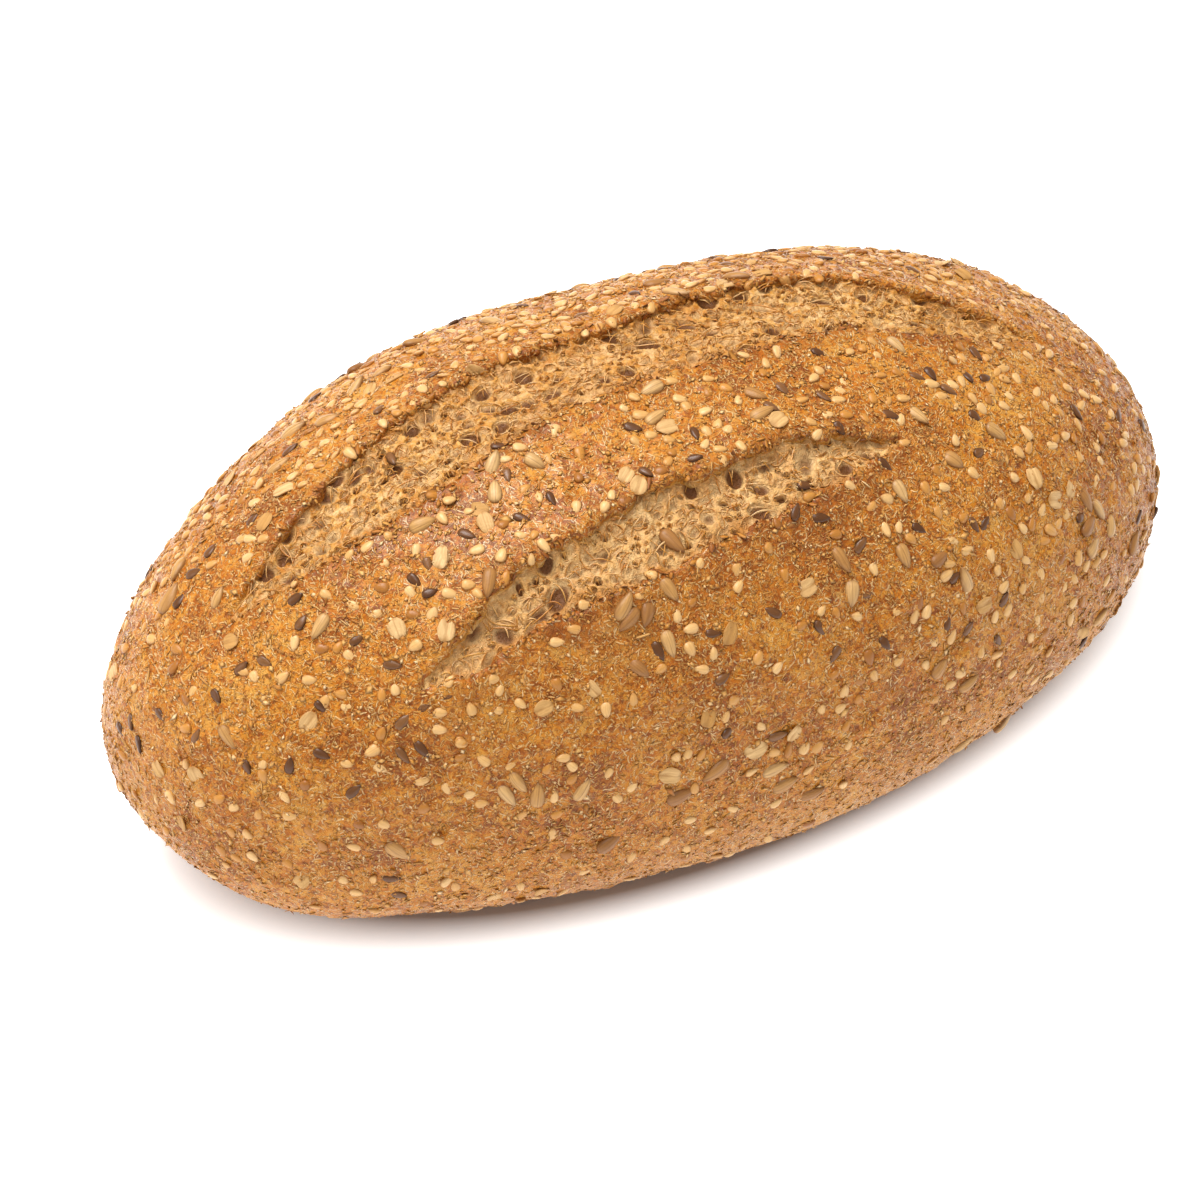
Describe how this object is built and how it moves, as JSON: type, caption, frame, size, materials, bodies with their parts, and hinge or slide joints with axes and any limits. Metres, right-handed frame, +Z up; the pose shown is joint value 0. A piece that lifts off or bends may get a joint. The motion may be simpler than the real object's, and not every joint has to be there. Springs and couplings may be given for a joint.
{
  "type": "multigrain loaf",
  "caption": "Long oval hearth loaf of multigrain bread, flat underneath, with lengthwise slashes opened across its domed crest and a brown crust set with seeds.",
  "frame": {"origin": "on the board under the middle of the loaf, at the level of its flat base", "axes": "+X along the loaf, +Z up, -Y towards the side that the shorter slash lies on"},
  "size_m": [0.26, 0.1428, 0.1071],
  "materials": {
    "crust": "matt baked crust, golden brown, with pale bran flecks",
    "crumb": "matt open crumb, pale beige brown, porous",
    "sesame": "toasted sesame, satin",
    "linseed": "brown linseed, glossy",
    "sunflower": "toasted sunflower kernel, satin",
    "oat": "rolled oat flake, matt"
  },
  "bodies": {
    "root": {"loaf": "crust"}
  },
  "joints": []
}
